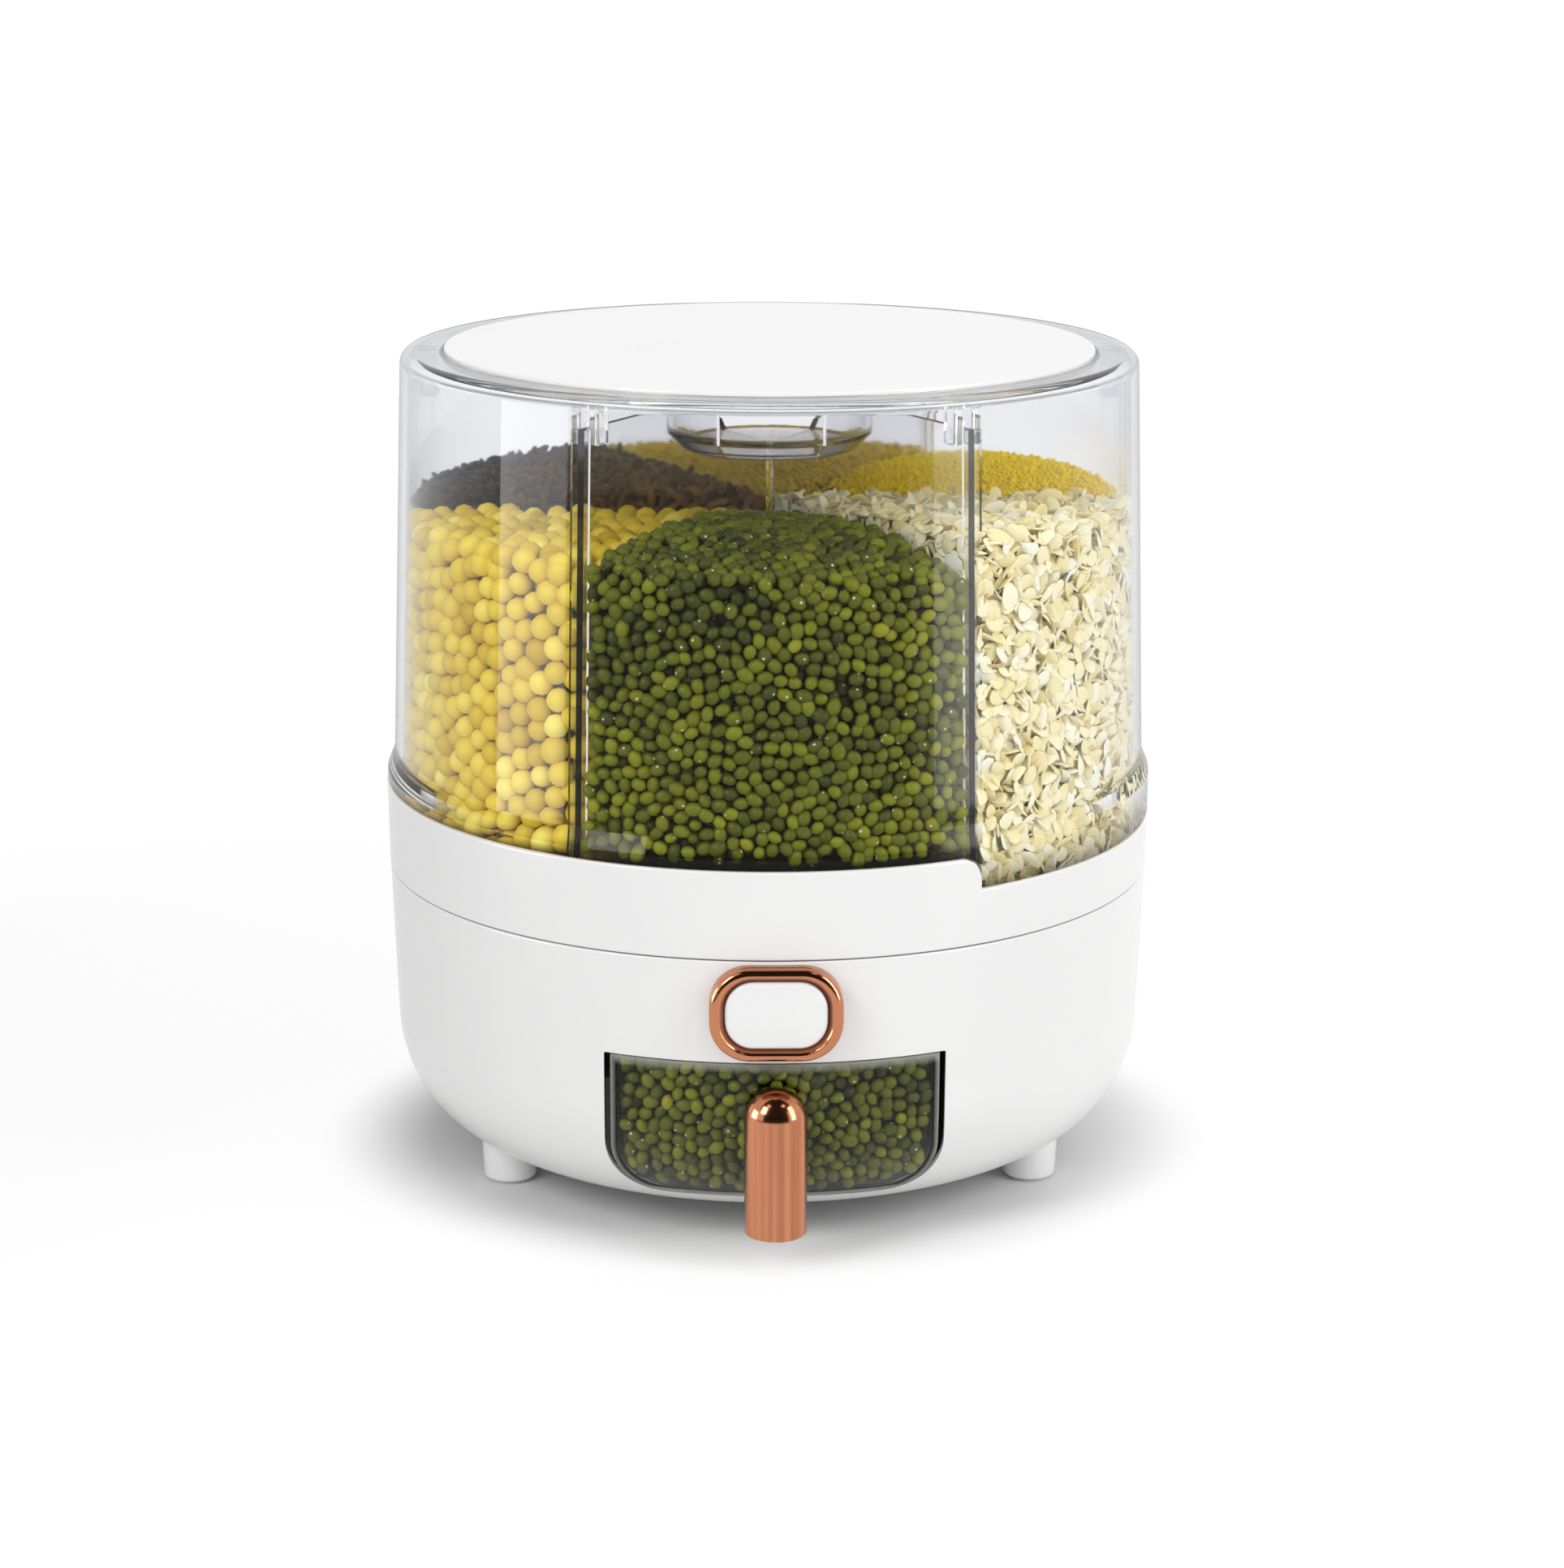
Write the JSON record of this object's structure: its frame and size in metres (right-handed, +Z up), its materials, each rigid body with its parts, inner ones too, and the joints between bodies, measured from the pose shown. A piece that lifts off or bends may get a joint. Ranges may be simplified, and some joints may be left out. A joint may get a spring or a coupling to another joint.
{
  "type": "rotating food storage container",
  "caption": "Round countertop dry-food dispenser: a clear divided drum turns on a white base with a push button, a sliding shutter and a clear pull-out drawer.",
  "frame": {"origin": "on the drum's turning axis, in the plane of the foot pads' undersides", "axes": "+Z up along the turning axis, -Y towards the button and drawer, +X to the right seen from the front"},
  "size_m": [0.2349, 0.244, 0.25],
  "materials": {
    "white_plastic": "glossy white moulding",
    "clear_plastic": "clear moulding",
    "rose_gold_plating": "rose-gold plated moulding",
    "steel": "bright",
    "acetal": "natural white, satin",
    "silicone": "pale soft moulding"
  },
  "bodies": {
    "base": {"base_shell": "white_plastic", "foot_pads": "silicone", "deck_plate": "white_plastic", "deck_screws": "steel", "chute": "white_plastic", "chute_screws": "steel", "spindle": "acetal", "spindle_washer": "steel", "spindle_screw": "steel", "lower_race": "acetal", "drawer_rail_left": "acetal", "drawer_rail_right": "acetal", "button_bezel": "rose_gold_plating"},
    "drum": {"turntable": "white_plastic", "hub_bush": "acetal", "turntable_collar": "white_plastic", "collar_screws": "steel", "upper_race": "acetal", "drum_gasket": "silicone", "drum_shell": "clear_plastic", "centre_post": "clear_plastic", "hub_cup": "clear_plastic", "divider_1": "clear_plastic", "divider_2": "clear_plastic", "divider_3": "clear_plastic", "divider_4": "clear_plastic", "divider_5": "clear_plastic", "divider_6": "clear_plastic"},
    "bearing": {"ball_cage": "acetal", "bearing_balls": "steel"},
    "lid": {"lid_panel": "white_plastic", "lid_seal": "silicone"},
    "button": {"button_cap": "white_plastic", "shutter": "white_plastic", "button_pin": "steel", "return_spring": "steel"},
    "drawer": {"drawer_box": "clear_plastic", "drawer_handle": "rose_gold_plating", "handle_screws": "steel"}
  },
  "joints": [
    {"name": "drum_turn", "type": "hinge", "parent": "base", "child": "drum", "pos_m": [0, 0, 0.1], "axis": [0, 0, 1], "continuous": true},
    {"name": "bearing_turn", "type": "hinge", "parent": "base", "child": "bearing", "pos_m": [0, 0, 0.0943], "axis": [0, 0, 1], "continuous": true},
    {"name": "lid_lift", "type": "slide", "parent": "drum", "child": "lid", "axis": [0, 0, 1], "range_m": [0, 0.12]},
    {"name": "button_press", "type": "slide", "parent": "base", "child": "button", "axis": [0, 1, 0], "range_m": [0, 0.012], "stiffness_N_per_m": 300, "springref_m": -0.004, "deforming": ["return_spring"]},
    {"name": "drawer_pull", "type": "slide", "parent": "base", "child": "drawer", "axis": [0, -1, 0], "range_m": [0, 0.1]}
  ],
  "couplings": [
    {"joint": "bearing_turn", "follows": "drum_turn", "ratio": 0.5}
  ]
}
